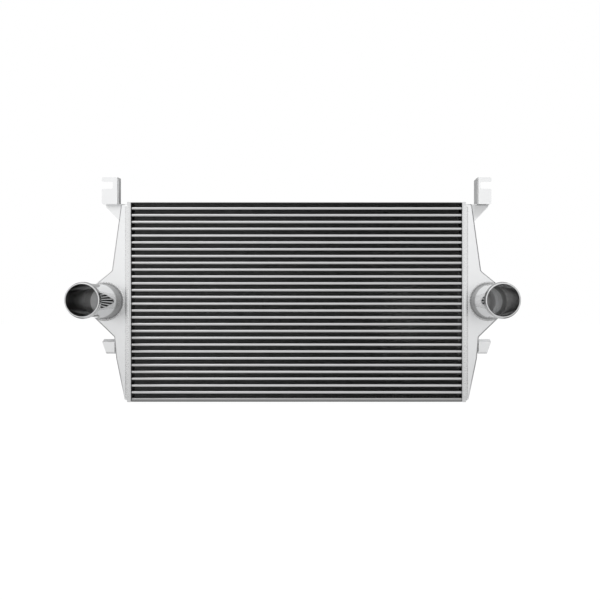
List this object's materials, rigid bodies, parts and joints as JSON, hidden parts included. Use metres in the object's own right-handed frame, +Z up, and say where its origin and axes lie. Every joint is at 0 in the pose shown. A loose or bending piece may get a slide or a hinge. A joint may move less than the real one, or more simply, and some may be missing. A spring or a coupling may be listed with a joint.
{
  "type": "intercooler",
  "caption": "Air-to-air intercooler: flat tubes and fins between two cast end tanks, with forward hose pipes and slotted brackets.",
  "frame": {"origin": "centre of the underside of the bottom rail", "axes": "+X along the core to the right tank, +Z up, the hose pipes point to -Y"},
  "size_m": [0.9476, 0.19, 0.5056],
  "materials": {
    "tube": "brushed",
    "fin": "matte black",
    "turbulator": "mill",
    "side_plate": "mill",
    "header": "satin",
    "cast_tank": "blasted satin",
    "polished_pipe": "polished",
    "bracket": "satin"
  },
  "bodies": {
    "root": {"bottom_rail": "side_plate", "charge_tube_01": "tube", "charge_tube_02": "tube", "charge_tube_03": "tube", "charge_tube_04": "tube", "charge_tube_05": "tube", "charge_tube_06": "tube", "charge_tube_07": "tube", "charge_tube_08": "tube", "charge_tube_09": "tube", "charge_tube_10": "tube", "charge_tube_11": "tube", "charge_tube_12": "tube", "charge_tube_13": "tube", "charge_tube_14": "tube", "charge_tube_15": "tube", "charge_tube_16": "tube", "charge_tube_17": "tube", "charge_tube_18": "tube", "charge_tube_19": "tube", "charge_tube_20": "tube", "charge_tube_21": "tube", "charge_tube_22": "tube", "charge_tube_23": "tube", "charge_tube_24": "tube", "charge_tube_25": "tube", "charge_tube_26": "tube", "charge_tube_27": "tube", "charge_tube_28": "tube", "end_tank_left": "cast_tank", "end_tank_right": "cast_tank", "fin_rows": "fin", "header_left": "header", "header_right": "header", "hose_pipe_left": "polished_pipe", "hose_pipe_right": "polished_pipe", "lower_bracket_left": "bracket", "lower_bracket_right": "bracket", "top_plate": "side_plate", "turbulators": "turbulator", "upper_bracket_left": "bracket", "upper_bracket_right": "bracket"}
  },
  "joints": []
}
